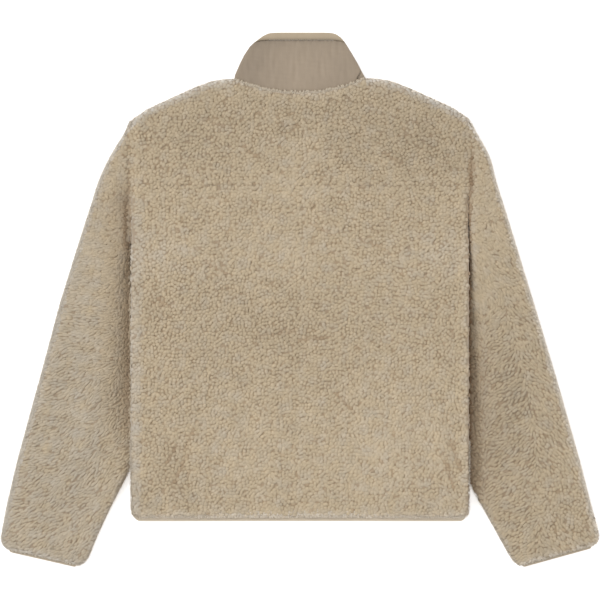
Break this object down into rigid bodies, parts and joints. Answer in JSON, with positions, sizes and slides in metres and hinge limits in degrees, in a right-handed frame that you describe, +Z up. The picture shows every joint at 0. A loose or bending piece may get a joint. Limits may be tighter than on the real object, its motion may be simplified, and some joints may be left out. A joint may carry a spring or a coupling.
{
  "type": "sherpa fleece pullover",
  "caption": "Boxy sherpa fleece pullover with drop shoulders, a back yoke and a woven stand collar, laid flat with its back up.",
  "frame": {"origin": "middle of the garment's outline, on the surface that it lies on", "axes": "+Y from the hem to the collar, +Z up out of the back, +X towards the wearer's right sleeve"},
  "size_m": [0.956, 0.8566, 0.0373],
  "materials": {
    "fleece": "curly sherpa pile",
    "woven": "smooth woven cloth",
    "binding": "flat folded binding",
    "stud_metal": "antique matt"
  },
  "bodies": {
    "root": {"back_body": "fleece", "back_yoke": "fleece", "front_body": "fleece", "sleeve_left": "fleece", "sleeve_right": "fleece", "collar_back": "woven", "collar_front_left": "woven", "collar_front_right": "woven", "placket": "woven", "collar_binding": "binding", "hem_binding": "binding", "cuff_binding_left": "binding", "cuff_binding_right": "binding", "stud_1": "stud_metal", "stud_2": "stud_metal", "stud_3": "stud_metal", "stud_4": "stud_metal"}
  },
  "joints": []
}
